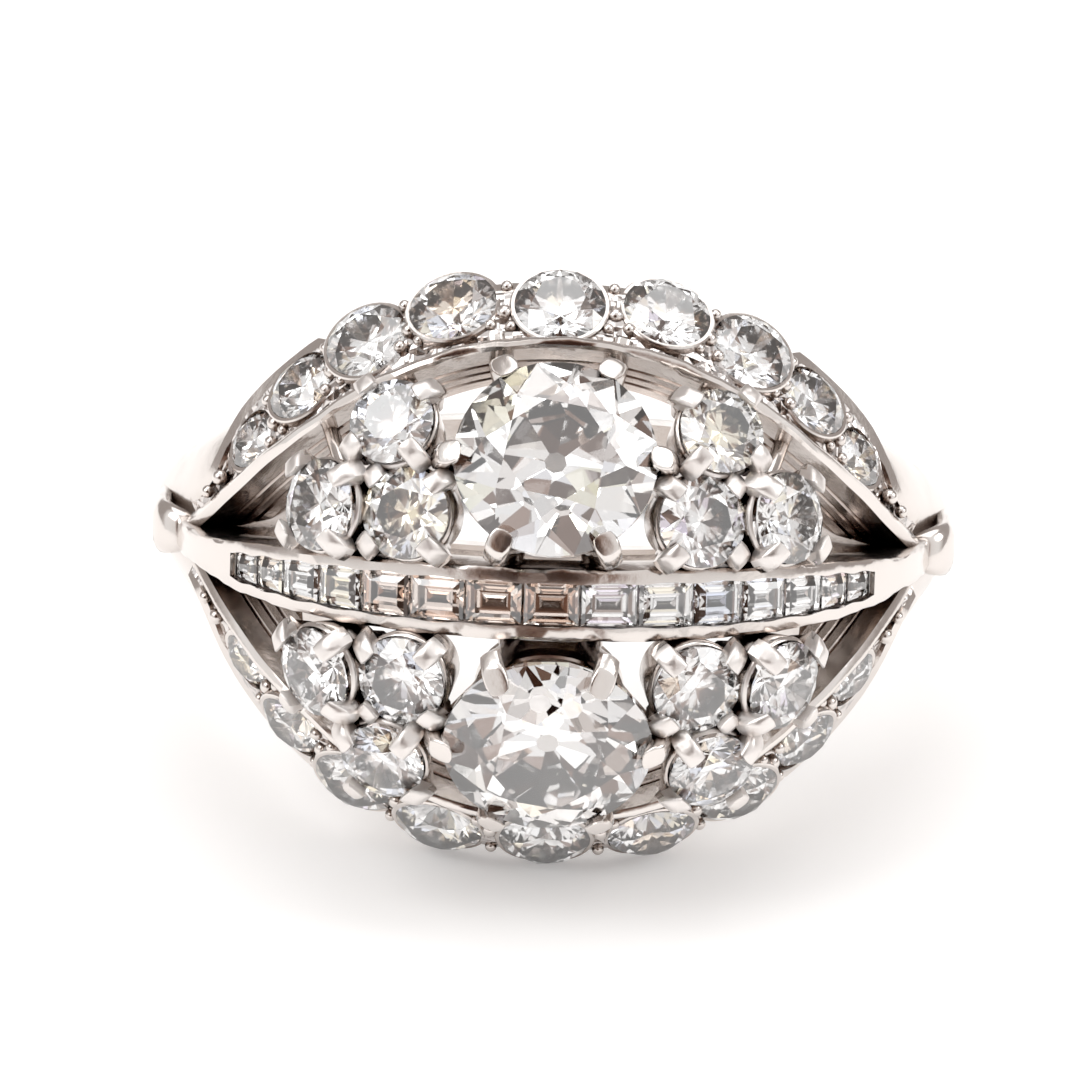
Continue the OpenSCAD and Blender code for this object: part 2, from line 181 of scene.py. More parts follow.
def carve(form, tools, operation="DIFFERENCE"):
    """The form with each tool cut away from it, or joined to it with UNION."""
    holders = []
    for shape in [form] + tools:
        holder = bpy.data.objects.new("holder", bpy.data.meshes.new("holder"))
        bmesh.ops.triangulate(shape, faces=shape.faces)
        shape.to_mesh(holder.data)
        shape.free()
        bpy.context.scene.collection.objects.link(holder)
        holders.append(holder)
    for tool in holders[1:]:
        step = holders[0].modifiers.new("carve", "BOOLEAN")
        step.operation = operation
        step.solver = "MANIFOLD"
        step.object = tool
    bpy.context.view_layer.update()
    done = bpy.data.meshes.new_from_object(holders[0].evaluated_get(bpy.context.evaluated_depsgraph_get()))
    result = bmesh.new()
    result.from_mesh(done)
    bpy.data.meshes.remove(done)
    for holder in holders:
        shape = holder.data
        bpy.data.objects.remove(holder)
        bpy.data.meshes.remove(shape)
    return result


def make_piece(name, form, material, replaced, crease=32):
    """Lays a form in its place as a piece of the ring, smooth but for edges sharper than crease degrees.

    A list of materials follows the finish numbers of the form's faces.
    """
    bmesh.ops.transform(form, matrix=LAY, verts=form.verts)
    for face in form.faces:
        face.smooth = crease > 0
    for edge in form.edges:
        edge.smooth = edge.calc_face_angle(0) < math.radians(crease)
    shape = bpy.data.meshes.new(name)
    form.to_mesh(shape)
    form.free()
    for finish in material if isinstance(material, list) else [material]:
        shape.materials.append(finish)
    piece = bpy.data.objects.new(name, shape)
    bpy.context.scene.collection.objects.link(piece)
    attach(piece, "root")
    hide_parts(*replaced)


def ease(t):
    """Runs smoothly from 0 to 1."""
    t = max(0.0, min(1.0, t))
    return t * t * (3 - 2 * t)


def mix(a, b, t):
    """Runs straight from a to b as t runs from 0 to 1."""
    return a + (b - a) * t


# Soft dents and fine scratches, their width and depth in millimetres. Real scratches are too fine to show, so
# these are drawn as coarse as they need to be.
dent_mm = 0.9
dent_depth = 0.016
hairline_mm = 0.12
hairline_depth = 0.004


def polished_metal(name, wear_mm, wear_depth, painted_shade_colours, shade_reach_mm, cuts_mm=0, cuts_depth=0, dull=0):
    """Polished platinum: near-white and mirror-like, with soft dents of the given size from filing and wear.

    Painted shade and painted dark reflections turn its colour dark brown close beside a neighbouring part,
    within the given reach.
    Where cuts_mm is given, a graver has cut it into small flat facets of that size, each at its own slope.
    Where dull is given, wear has roughened the polish by that much.
    """
    metal = bpy.data.materials.new(name)
    metal.use_nodes = True
    tree = metal.node_tree
    shader = tree.nodes["Principled BSDF"]
    shader.inputs["Metallic"].default_value = 1
    place = add_node(tree, "ShaderNodeTexCoord").outputs["Object"]
    # A cloud this coarse is about one dent across
    dents = add_node(tree, "ShaderNodeTexNoise", {"Vector": place, "Scale": 1000 / wear_mm, "Detail": 3,
                                                  "Roughness": 0.55})
    hairlines = add_node(tree, "ShaderNodeTexNoise", {"Vector": place, "Scale": 1000 / hairline_mm,
                                                      "Detail": 2, "Roughness": 0.6})
    bump = add_node(tree, "ShaderNodeBump", {"Height": dents.outputs["Fac"], "Distance": wear_depth * 0.001,
                                             "Strength": 1.0})
    fine = add_node(tree, "ShaderNodeBump", {"Height": hairlines.outputs["Fac"], "Strength": 0.6,
                                             "Distance": hairline_depth * 0.001,
                                             "Normal": bump.outputs["Normal"]})
    surface = fine.outputs["Normal"]
    if cuts_mm:
        graver = add_node(tree, "ShaderNodeTexVoronoi", {"Vector": place, "Scale": 1000 / cuts_mm},
                          distance="MANHATTAN")
        surface = add_node(tree, "ShaderNodeBump", {"Height": graver.outputs["Distance"], "Strength": 1.0,
                                                    "Distance": cuts_depth * 0.001,
                                                    "Normal": surface}).outputs["Normal"]
    tree.links.new(surface, shader.inputs["Normal"])
    # The dents hold a little more wear than the high places between them
    roughness = add_node(tree, "ShaderNodeMapRange", {"Value": dents.outputs["Fac"], "From Min": 0.3,
                                                      "From Max": 0.7, "To Min": 0.1 + dull,
                                                      "To Max": 0.24 + dull})
    tree.links.new(roughness.outputs["Result"], shader.inputs["Roughness"])
    # Painted shade: ambient occlusion darkens the colour towards brown where other parts are near
    painted_shade_ao = add_node(tree, "ShaderNodeAmbientOcclusion", {"Distance": shade_reach_mm * 0.001}, samples=6)
    colour = add_node(tree, "ShaderNodeValToRGB", {"Fac": painted_shade_ao.outputs["AO"]}, stops=painted_shade_colours)
    tree.links.new(colour.outputs["Color"], shader.inputs["Base Color"])
    return metal


# Its colours are painted shade and painted dark reflections: dark brown close beside other parts, near-white
# in the open
polished_platinum = polished_metal(
    "polished_platinum", dent_mm, dent_depth, shade_reach_mm=1.3,
    painted_shade_colours=[(0.08, "#22110B"), (0.3, "#68503F"), (0.56, "#CEC5BF"), (0.88, "#DED7D2")])

bore_r = 8.6
# What stands inside the finger hole until the hole is cut
spare = 0.3
# Angle from the middle of the back, half width, thickness at the middle, thickness at the edges
SHANK = [(0, 1.09, 1.4, 0.9), (45, 1.09, 1.42, 0.88), (70, 1.15, 1.6, 0.7), (90, 1.4, 1.75, 0.6),
         (102, 1.72, 1.85, 0.5), (112, 2.25, 1.95, 0.5), (120, 2.75, 2.15, 0.55), (128, 3.1, 2.2, 0.6),
         (140, 3.2, 1.3, 0.7)]


def follow(rows, x):
    """The values of a table at x, on a smooth curve through its rows."""
    i = next(i for i in range(1, len(rows)) if x <= rows[i][0])
    before, low, high, after = rows[max(i - 2, 0)], rows[i - 1], rows[i], rows[min(i + 1, len(rows) - 1)]
    span = high[0] - low[0]
    t = (x - low[0]) / span
    values = []
    for k in range(1, len(low)):
        start = (high[k] - before[k]) / (high[0] - before[0]) * span
        end = (after[k] - low[k]) / (after[0] - low[0]) * span
        bow = start * t * (1 - t) ** 2 - end * t * t * (1 - t)
        values.append(mix(low[k], high[k], t * t * (3 - 2 * t)) + bow)
    return values


def shank_ring(angle):
    """The band's section at an angle from the middle of its back."""
    here = abs(angle)
    w, t, edge_t = follow(SHANK, here)
    a = math.radians(angle)
    out = Vector((math.sin(a), 0, -math.cos(a)))
    # The back has worn to one side
    side = -0.3 * (1 - ease((here - 40) / 60))
    middle, edge = bore_r + t, bore_r + edge_t
    inside = (w - 0.02, 0.5 * w, -0.5 * w, 0.02 - w)
    ring = [out * (bore_r - spare) + Vector((0, side + y, 0)) for y in inside]
    # The outside is half an ellipse
    for i in range(-9, 10):
        b = math.radians(10 * i)
        ring.append(out * (edge + (middle - edge) * math.cos(b)) + Vector((0, side + w * math.sin(b), 0)))
    return ring


def finger_hole(relief=0.0):
    """The cutter for the finger hole; relief keeps what meets the shank a little behind its inner face."""
    hole = bmesh.new()
    bmesh.ops.create_cone(hole, cap_ends=True, segments=192, radius1=bore_r + relief, radius2=bore_r + relief,
                          depth=40)
    return place_form(hole, Matrix.Rotation(math.pi / 2, 4, "X"))


shank = carve(skin([shank_ring(2.5 * i) for i in range(-56, 57)]), [finger_hole()])
make_piece("shank", shank, polished_platinum, ["ring_mount"], crease=50)

# Hoop under the head. A plain band of the same platinum that closes the finger hole and carries the walls of
# the head. The head hides it from in front, so it is finished plainly.

# The hoop's section: height over the finger hole's edge, and place along the finger
HOOP = [(-spare, 0.45), (-spare, -0.45), (0.62, -0.45), (0.73, -0.34), (0.75, 0), (0.73, 0.34), (0.62, 0.45)]
hoop_rings = []
for i in range(-27, 28):
    a = math.radians(3 * i)
    out = Vector((-math.sin(a), 0, math.cos(a)))
    hoop_rings.append([out * (bore_r + rise) + Vector((0, y, 0)) for rise, y in HOOP])
make_piece("inner_hoop", carve(skin(hoop_rings), [finger_hole(0.01)]), polished_platinum,
           ["ring_mount"])

# Shoulder ridges. A rounded rib is filed up on the outside of each shoulder and ends in a round nose that
# laps over the tip of the channel, with a narrow neck below it.

# Angle above the middle of the finger hole, radius of the crest, half width
RISE = [(-28, 9.9, 0.3), (-8, 10.2, 0.5), (8, 10.35, 0.62), (16, 10.65, 0.7), (22, 11.1, 0.7),
        (27, 11.5, 0.7), (30, 11.45, 0.62), (32, 11.1, 0.4)]
# The rib's section: height from the crest, and share of the half width; its root is sunk in the shank
RIB = [(-0.6, 0.5), (-0.5, 0.95), (-0.2, 1), (0, 0.6)]
rib_root = (9.1, 0.5)
for side, label in ((-1, "left"), (1, "right")):
    rings = []
    for angle, r, w in RISE:
        a = math.radians(angle)
        out = Vector((side * math.cos(a), 0, math.sin(a)))
        half = [rib_root] + [(r + d, share) for d, share in RIB]
        section = [(d, -share) for d, share in half] + half[::-1]
        rings.append([out * d + Vector((0, w * share, 0)) for d, share in section])
    rib = skin(rings)
    bmesh.ops.subdivide_edges(rib, edges=rib.edges, cuts=1, use_grid_fill=True)
    for _ in range(2):
        bmesh.ops.smooth_vert(rib, verts=rib.verts, factor=0.4, use_axis_x=True, use_axis_y=True,
                              use_axis_z=True)
    make_piece("shoulder_ridge_" + label, rib, polished_platinum, ["ring_mount"], crease=50)

# Borders. Each is a cast crescent with a polished rail along its inner edge, a plate that holds nine stones
# and a wall that runs down to the finger hole. Its outer edge is filed into scallops round the stones.

# Each stone, from the middle out: x, y, diameter, and the tilt of its face outwards, square to the border
BORDER = [(0.00, 6.80, 2.20, 48.35), (2.68, 6.62, 2.15, 53), (4.82, 5.63, 2.10, 50), (6.43, 4.33, 1.85, 58),
          (7.62, 2.82, 1.50, 61)]
# The stones lie on this dome, and the rail a little above it
dome_r = 9.1
dome_middle = Vector((0, 0, 4.06))
rail_r = 9.4
# How far the border and its rail reach to each side, and how thick the casting is
border_end = 9.25
rail_end = 9.1
border_t = 1.1
# The walls run on into the finger hole until it is cut
wall_foot_r = 8.5
# The stones fill their seats, a little wider than the plain solids that stand for them
full_size = 1.04
rim_w = 0.18
# The line of the stones is an arc about this point of the middle line
arc_y = -2.5
arc_r = 9.42


def on_dome(x, y, r):
    """The point over x and y on a dome of radius r."""
    return Vector((x, y, dome_middle.z + math.sqrt(r * r - x * x - y * y)))


def border_point(x):
    """The line of the border's stones: an arc with a straight stretch to the shoulder's tip."""
    bend = 8.0
    y = arc_y + math.sqrt(arc_r ** 2 - min(x, bend) ** 2) - 1.37 * max(0.0, x - bend)
    return on_dome(x, min(y, 6.85), dome_r + 0.5 * ease((x - 7.2) / 2.1))


def rail_point(x):
    """The line of the polished rail, flatter in the middle than an arc."""
    return on_dome(x, 6.0 * (1 - (x / 9.35) ** 2.15), rail_r)


def line_frame(line, x):
    """Point, direction out of the dome, and direction away from the middle of the head."""
    p = line(x)
    n = (p - dome_middle).normalized()
    t = (line(x + 0.01) - p).normalized()
    return p, n, n.cross(t).normalized()


def border_ring(s):
    """The border's section at s, from -1 at one shoulder over 0 in the middle to 1 at the other."""
    x = abs(s) * border_end
    p, n, o = line_frame(border_point, x)
    q, m, k = line_frame(rail_point, abs(s) * rail_end)
    # The border thins towards its tips, where its outer edge shows as a strip beyond the scallops
    full = 1 - ease((x - 6.2) / 2.3)
    lip = 0.25 + 0.95 * ease((border_end - x) / 1.7) - 0.5 * ease((6.0 - x) / 0.5)
    edge = p + o * lip - n * 0.1 * full
    under = p + o * mix(0.25, 0.86, full) - n * border_t
    wall = p + o * mix(0.2, 0.5, full) - n * mix(1.7, border_t, full)
    reach = wall_foot_r / math.hypot(wall.x, wall.z)
    foot = Vector((wall.x * reach, wall.y - 0.2, wall.z * reach))
    thick = Vector((0, mix(0.45, 0.75, full), 0))
    # Three fine grooves are filed along the wall inside the rail
    half = mix(0.17, 0.23, ease((x - 6) / 3))
    face = q - k * half
    ring = [face - m * 1.5]
    for depth in (1.16, 0.84, 0.5):
        ring += [face - m * (depth + 0.06), face - m * depth + k * 0.08, face - m * (depth - 0.06)]
    # Hammering has left the rail slightly wavy
    wave = 0.03 * math.sin(23 * s + 1) + 0.018 * math.sin(61 * s)
    crest = q + m * 0.24 + k * wave
    ring += [face - m * 0.1, face + m * 0.12 + k * wave * 0.5, crest - k * 0.1 - m * 0.03, crest,
             crest + k * 0.08 - m * 0.03, q + k * (half + wave * 0.5) + m * 0.1]
    # The plate lies flush with the stones' girdles; beyond the last stone it is sunk between rail and edge
    base = q + k * half - m * mix(0.04, 0.2, full)
    width = (edge - base).length
    strip = min(0.34, 0.4 * width) / width
    sunk = 0.11 * ease((x - 7.9) / 0.4) * ease((9.1 - x) / 0.3)
    flush = 1 - ease((x - 7.4) / 1.2)
    ring.append(base)
    for share, deep in ((0.05, 0), (0.1, 1), (0.4, 1), (0.7, 1), (0.97 - strip, 1), (1 - strip, 0)):
        v = base.lerp(edge, share)
        out = (v - dome_middle).normalized()
        wanted = mix((v - dome_middle).length, (p - dome_middle).length + 0.03, flush * ease(share / 0.3))
        ring.append(dome_middle + out * (wanted - sunk * deep))
    ring += [edge, edge - n * 0.05 + o * 0.04, edge - n * 0.16 + o * 0.03]
    ring += [under, foot, foot - thick, wall - thick]
    return [Vector((v.x if s >= 0 else -v.x, v.y, v.z)) for v in ring]


def stand(at, n):
    """Stands what is made along Z at a point so that it looks along n, its X kept level."""
    x = Vector((0, 1, 0)).cross(n).normalized()
    return Matrix.Translation(at) @ Matrix([x, n.cross(x), n]).transposed().to_4x4()


def turned(profile, segments):
    """A closed form turned from a profile of (radius, height), from the axis round to the axis."""
    form = bmesh.new()
    ends = [form.verts.new((r, 0, z)) for r, z in profile]
    edges = [form.edges.new(pair) for pair in zip(ends, ends[1:])]
    if profile[0][0] > 0:
        edges.append(form.edges.new((ends[-1], ends[0])))
    bmesh.ops.spin(form, geom=ends + edges, cent=(0, 0, 0), axis=(0, 0, 1), angle=2 * math.pi, steps=segments,
                   use_merge=True, use_duplicate=False)
    bmesh.ops.remove_doubles(form, verts=form.verts, dist=1e-5)
    bmesh.ops.recalc_face_normals(form, faces=form.faces)
    return form


def underside(sy):
    """The cutter that lifts the head a quarter of a millimetre off the finger beside the hoop."""
    relief = bmesh.new()
    relief_r = bore_r + 0.25
    bmesh.ops.create_cone(relief, cap_ends=True, segments=192, radius1=relief_r, radius2=relief_r, depth=10)
    return place_form(relief, Matrix.Translation((0, sy * 6.4, 0)) @ Matrix.Rotation(math.pi / 2, 4, "X"))


def border_stands():
    """Where the stones of the upper border stand, their way outwards and diameters, from left to right."""
    stands = []
    for k in range(1 - len(BORDER), len(BORDER)):
        x, y, d, tilt = BORDER[abs(k)]
        p = on_dome(math.copysign(x, k), y, dome_r)
        out = Vector((p.x, p.y - arc_y, 0)).normalized()
        a = math.radians(tilt)
        stands.append((stand(p, out * math.sin(a) + Vector((0, 0, math.cos(a)))), out, d))
    return stands


# The finishes of a border's faces, in the order of its materials after the plain polish
BRIGHT_CUT, LIGHTLY_SHADED_SEAT, SHADED_WALL = 1, 2, 3
# The points of a border's section between which the plate lies, and the last one of the wall inside the rail
PLATE = (17, 21)
INNER_WALL = 9


def border_form():
    """The upper border: plate, rail and walls, with a cup and a seat for each stone."""
    rings = [border_ring(math.sin(math.radians(2 * i))) for i in range(-45, 46)]
    body = skin(rings)
    count = len(rings[0])
    mark = body.faces.layers.int.new("finish")
    for face in body.faces:
        spots = {v.index % count for v in face.verts}
        if min(spots) >= PLATE[0] and max(spots) <= PLATE[1]:
            face[mark] = BRIGHT_CUT
        elif max(spots) <= INNER_WALL:
            face[mark] = SHADED_WALL
    cups, seats = [], []
    for place, out, d in border_stands():
        r, outer = d / 2 * full_size + 0.005, d / 2 + rim_w
        cup = turned([(0, -border_t), (outer - 0.03, -border_t), (outer, -0.1), (outer - 0.015, 0.0),
                      (outer - 0.05, 0.035), (outer - 0.1, 0.03), (0, 0.03)], 48)
        # The cup stands a little higher on its outer side, where its lip is the border's scalloped edge
        n = place.col[2].to_3d()
        tip = Matrix.Rotation(math.radians(-2.5), 4, out.cross(n).normalized())
        at = Matrix.Translation(place.translation)
        cups.append(place_form(cup, at @ tip @ at.inverted() @ place))
        seat = turned([(0, -1.08), (r, -0.08), (r, 0.03), (r + 0.03, 0.8), (0, 0.8)], 48)
        seats.append(place_form(seat, place))
    body = carve(body, cups, "UNION")
    return carve(body, seats + [finger_hole(0.03), underside(1), underside(-1)])


def mark_faces(form, place, finish, inside):
    """Gives a finish, by its number, to the faces whose middle is inside, as seen from a stone's place."""
    to_place = place.inverted()
    for face in form.faces:
        if inside(to_place @ face.calc_center_median()):
            face.material_index = finish


# The plate between the stones is cut bright with a graver, in glittering facets a third of a millimetre wide
# Its darkest colour, right beside the stones and beads, is painted shade
bright_cut_platinum = polished_metal(
    "bright_cut_platinum", dent_mm, dent_depth, shade_reach_mm=0.6, cuts_mm=0.34, cuts_depth=0.1,
    painted_shade_colours=[(0.1, "#4A3830"), (0.4, "#A59A95"), (0.7, "#DAD4D1")])
# The seats under the stones get a lighter copy with only faint painted shade, so the stones look brighter
lightly_shaded_seat_platinum = polished_metal(
    "lightly_shaded_seat_platinum", dent_mm, dent_depth, shade_reach_mm=0.3,
    painted_shade_colours=[(0.0, "#CFC9C6"), (0.5, "#E6E1DF")])
# Inside the rail the walls and grooves are painted dark brown: painted shade and painted dark reflections
shaded_wall_platinum = polished_metal(
    "shaded_wall_platinum", dent_mm, dent_depth, shade_reach_mm=1.3,
    painted_shade_colours=[(0.1, "#1E100A"), (0.4, "#5C463A"), (0.68, "#A89B93"), (0.95, "#D2CAC5")])
HALVES = (("upper", 1), ("lower", -1))
for label, sy in HALVES:
    form = border_form()
    if sy < 0:
        place_form(form, Matrix.Scale(-1, 4, (0, 1, 0)))
        bmesh.ops.recalc_face_normals(form, faces=form.faces)
    mark = form.faces.layers.int["finish"]
    for face in form.faces:
        face.material_index = face[mark]
    # The faces under each stone take the lighter copy of the platinum, with only faint painted shade
    for place, _, d in border_stands():
        reach = d / 2 * full_size
        mark_faces(form, Matrix.Scale(sy, 4, (0, 1, 0)) @ place, LIGHTLY_SHADED_SEAT,
                   lambda p: -border_t < p.z < -0.02 and p.xy.length < reach)
    make_piece("border_" + label, form,
               [polished_platinum, bright_cut_platinum, lightly_shaded_seat_platinum, shaded_wall_platinum],
               ["ring_mount"])

# Beads. Small curls of the border's own metal, raised with a graver between two stones and rounded with a
# beading tool so that they press on both.
bead_r = 0.21
# Between two stones, a bead's place out from their line and along it, and its share of the full size
BEADS = [(-0.3, 0, 1), (-0.74, -0.2, 0.7), (-0.7, 0.32, 0.8), (0.56, 0.02, 0.75)]
# Two more stand in the sunk end beyond the last stone: their share of the border's reach, and of the size
END_BEADS = [(0.917, 1.0), (0.95, 0.8)]


def bead(x, y, z, size):
    """One bead, at a share of the full size."""
    form = bmesh.new()
    bmesh.ops.create_uvsphere(form, u_segments=14, v_segments=10, radius=bead_r * size)
    return place_form(form, Matrix.Translation((x, y, z)))


def join_forms(forms):
    """One form that holds all the given ones."""
    whole = bmesh.new()
    for form in forms:
        part = bpy.data.meshes.new("part")
        form.to_mesh(part)
        form.free()
        whole.from_mesh(part)
        bpy.data.meshes.remove(part)
    return whole


for label, sy in HALVES:
    beads = []
    for k in range(len(BORDER) - 1):
        a, b = (on_dome(BORDER[j][0], BORDER[j][1], dome_r) for j in (k, k + 1))
        n = ((a + b) / 2 - dome_middle).normalized()
        along = (b - a).normalized()
        o = along.cross(n) if along.cross(n).y > 0 else n.cross(along)
        middle = a.lerp(b, BORDER[k][2] / (BORDER[k][2] + BORDER[k + 1][2]))
        for sx in (-1, 1):
            for out, shift, size in BEADS:
                p = middle + o * out + along * shift + n * 0.1
                beads.append(bead(sx * p.x, sy * p.y, p.z, size))
    for share, size in END_BEADS:
        p, _, o = line_frame(border_point, share * border_end)
        q = p - o * 0.05
        beads += [bead(sx * q.x, sy * q.y, q.z, size) for sx in (-1, 1)]
    make_piece("beads_" + label, join_forms(beads), polished_platinum, ["ring_mount"], crease=60)

# Channel. An arched trough of platinum with two thin rails that are pressed over the edges of the stones, so
# their inner edges wave from stone to stone. Its ends are plain polished plates down to the shoulders.

# Lengths of the stones, from the middle one out, and the gap between two of them
CHANNEL_L = [1.36, 1.38, 1.38, 1.28, 1.22, 1.16, 0.92, 0.86]
stone_gap = 0.1
last_stone = len(CHANNEL_L) - 1
# The arch's radius, and the height of its middle
arch_r = 9.6
arch_z = 5.1
# The channel narrows towards its ends, up to this angle, and its band runs on to the shoulders
taper_end = math.radians(68)
band_end = math.radians(94)
# Depths under the top of the arch: the bottom of the groove, and the ledge under the stones' girdles
groove_depth = 0.95
ledge_depth = 0.14


def channel_angle(k):
    """Angle along the arch of stone k, counted from the middle one, in radians."""
    if k == 0:
        return 0.0
    length = sum(CHANNEL_L[:abs(k)]) - CHANNEL_L[0] / 2 + CHANNEL_L[abs(k)] / 2 + abs(k) * stone_gap
    return math.copysign(length / arch_r, k)


def band_w(a):
    """Width of the whole channel at an angle along the arch."""
    return 1.84 - 1.04 * min(abs(a) / taper_end, 1) ** 3


def groove_w(a):
    """Width between the rails at an angle along the arch."""
    return band_w(a) - 2 * mix(0.36, 0.25, min(abs(a) / taper_end, 1))


groove_end = channel_angle(last_stone) + (CHANNEL_L[last_stone] / 2 + 0.06) / arch_r


def arch_at(a, r, y):
    """The point at an angle along the arch, a distance from its middle and a place across it."""
    return Vector((math.sin(a) * r, y, arch_z + math.cos(a) * r))


def band_ring(a):
    """The section of the band, whose outer edges bow a little from the hammer."""
    w = band_w(a) / 2
    low, high = arch_r - 1.35, arch_r
    bow = 0.02 * math.sin(31 * a + 0.5) + 0.012 * math.sin(83 * a)
    return [arch_at(a, r, y) for r, y in (
        (low, -w + 0.05), (low + 0.05, -w), (high - 0.12, -w - bow * 0.5), (high - 0.04, -w + 0.03 - bow),
        (high, -w + 0.11), (high, -0.5 * w), (high, 0.5 * w), (high, w - 0.11),
        (high - 0.04, w - 0.03 + bow), (high - 0.12, w + bow * 0.5), (low + 0.05, w), (low, w - 0.05))]


def groove_ring(a):
    """The section of the cutter for the groove, narrower between two stones, where the rails close in."""
    near = min(range(-last_stone, last_stone + 1), key=lambda k: abs(channel_angle(k) - a))
    along = (a - channel_angle(near)) * arch_r / (CHANNEL_L[abs(near)] / 2 + stone_gap / 2)
    w = groove_w(a) / 2 + 0.03 * math.cos(math.pi * min(1, abs(along))) - 0.02
    seat = groove_w(a) / 2
    half = [(-groove_depth, seat), (-ledge_depth, seat), (0.03, w), (0.3, w)]
    return [arch_at(a, arch_r + d, y) for d, y in [(d, -y) for d, y in half] + half[::-1]]


def in_groove(p):
    """Whether a point of the channel lies on the groove's walls or floor, under the stones."""
    a = math.atan2(p.x, p.z - arch_z)
    depth = arch_r - math.hypot(p.x, p.z - arch_z)
    return (abs(p.y) < groove_w(a) / 2 + 0.01 and 0.1 < depth < groove_depth + 0.01
            and abs(a) < groove_end + 0.001)


band = skin([band_ring(band_end * i / 60) for i in range(-60, 61)])
groove = skin([groove_ring(groove_end * i / 90) for i in range(-90, 91)])
channel = carve(band, [groove, finger_hole(0.02)])
# The groove under the stones takes the lighter copy of the platinum, with only faint painted shade
finishes = [polished_platinum, lightly_shaded_seat_platinum]
mark_faces(channel, Matrix.Identity(4), finishes.index(lightly_shaded_seat_platinum), in_groove)
make_piece("channel", channel, finishes, ["ring_mount"])

# Baskets of the large stones. Two gallery rings carry six claws of round wire. The claws are filed flat on
# top, bent over the girdle and polished, so that each shows as a small bright drum.

# Diameter of the large stones, the place of their girdles across and out of the head, and how far they lean
main_d = 5.07
main_y = 3.6
main_z = 14.3
main_lean = math.radians(28)
# Between a stone's girdle and its seat
seat_gap = 0.04
claw_sides = 20
wire_sides = 10


def claw(r, angle, thick, foot, foot_r, top, squareness, dome, lean_out):
    """A claw beside a stone of seat radius r: up to the girdle, where its head of height top laps the edge.

    Its foot starts at foot_r, foot below the girdle, and its section is round where squareness is 0. The head
    is filed flat where dome is 0 and rubbed round where it is 1, and its top falls outwards by lean_out.
    """
    a = math.radians(angle)
    out = Vector((math.cos(a), math.sin(a), 0))
    along = Vector((-math.sin(a), math.cos(a), 0))
    # From foot to tip: reach from the stone's axis, height, share of the thickness, and slope outwards
    spine = [(foot_r, -foot, 0.8, 0),
             (mix(foot_r, r + 0.7 * thick, 0.6), -0.45 * foot, 0.88, 0),
             (r + 0.75 * thick, -0.2, 0.96, 0.2),
             (r + 0.6 * thick, 0.1 * top, 1.0, 0.7 * lean_out),
             (r + 0.4 * thick, 0.55 * top, 1.04, 0.92 * lean_out),
             (r + 0.28 * thick, mix(0.85, 0.74, dome) * top, 1.02, lean_out),
             (r + 0.25 * thick, mix(0.97, 0.92, dome) * top, mix(0.92, 0.88, dome), lean_out),
             (r + 0.24 * thick, mix(1.0, 1.05, dome) * top, mix(0.78, 0.64, dome),
              mix(1, 0.79, dome) * lean_out),
             (r + 0.23 * thick, mix(1.0, 1.13, dome) * top, mix(0.3, 0.25, dome),
              mix(1, 0.53, dome) * lean_out)]
    rings = []
    for reach, height, size, fall in spine:
        ring = []
        for i in range(claw_sides):
            b = 2 * math.pi * (i + 0.5) / claw_sides
            c, s = math.cos(b), math.sin(b)
            square = 1 / max(abs(c), abs(s))
            k = thick * size * mix(1, square, squareness)
            ring.append(out * (reach + k * c) + along * (k * s) + Vector((0, 0, height - fall * k * c)))
        rings.append(ring)
    return skin(rings)


def gallery(r, z, w, h):
    """A ring of flat wire with softened edges."""
    e = 0.05
    return turned([(r - w / 2, z - h / 2 + e), (r - w / 2 + e, z - h / 2), (r + w / 2 - e, z - h / 2),
                   (r + w / 2, z - h / 2 + e), (r + w / 2, z + h / 2 - e), (r + w / 2 - e, z + h / 2),
                   (r - w / 2 + e, z + h / 2), (r - w / 2, z + h / 2 - e)], 48)


def wire(a, b, r):
    """A straight length of round wire between two points."""
    n = (b - a).normalized()
    side = n.cross(Vector((1, 0, 0)) if abs(n.z) > 0.9 else Vector((0, 0, 1))).normalized()
    other = n.cross(side)
    return skin([[p + side * r * math.cos(t) + other * r * math.sin(t)
                  for t in [2 * math.pi * i / wire_sides for i in range(wire_sides)]] for p in (a, b)])


def main_stand(sy):
    """Where the large stone of the upper half (1) or the lower one (-1) stands."""
    return stand(Vector((0, sy * main_y, main_z)), Vector((0, sy * math.tan(main_lean), 1)).normalized())


for label, sy in HALVES:
    r = main_d / 2 + seat_gap
    forms = [gallery(r * 0.75, z=-1.1, w=0.34, h=0.4), gallery(r * 0.62, z=-2.2, w=0.55, h=0.4)]
    # The claws next to the channel are all filed to face one way, a little up from straight out of the head
    slopes = {240: 0.35, 300: 0.35} if sy > 0 else {60: 0.8, 120: 0.8}
    forms += [claw(r, a, thick=0.31, foot=2.35, foot_r=r * 0.62, top=0.42, squareness=0.3, dome=0,
                   lean_out=slopes.get(a, 0.57)) for a in range(0, 360, 60)]
    forms = [place_form(form, main_stand(sy)) for form in forms]
    # Short wires tie the basket to the border's wall and to the channel
    for sx in (-1, 1):
        forms.append(wire(Vector((sx * 1.1, sy * 4.1, 11.75)), Vector((sx * 1.6, sy * 6.0, 10.6)), 0.3))
        forms.append(wire(Vector((sx * 1.0, sy * 2.0, 12.4)), Vector((sx * 1.0, sy * 0.6, 13.6)), 0.3))
    make_piece("basket_" + label, join_forms(forms), polished_platinum, ["ring_mount"], crease=40)

# Collets of the corner stones. Each stone sits in a tapered cup of sheet with four blocky claws on the
# diagonals, and short wires tie the three cups of a corner to the channel and to the border's wall.

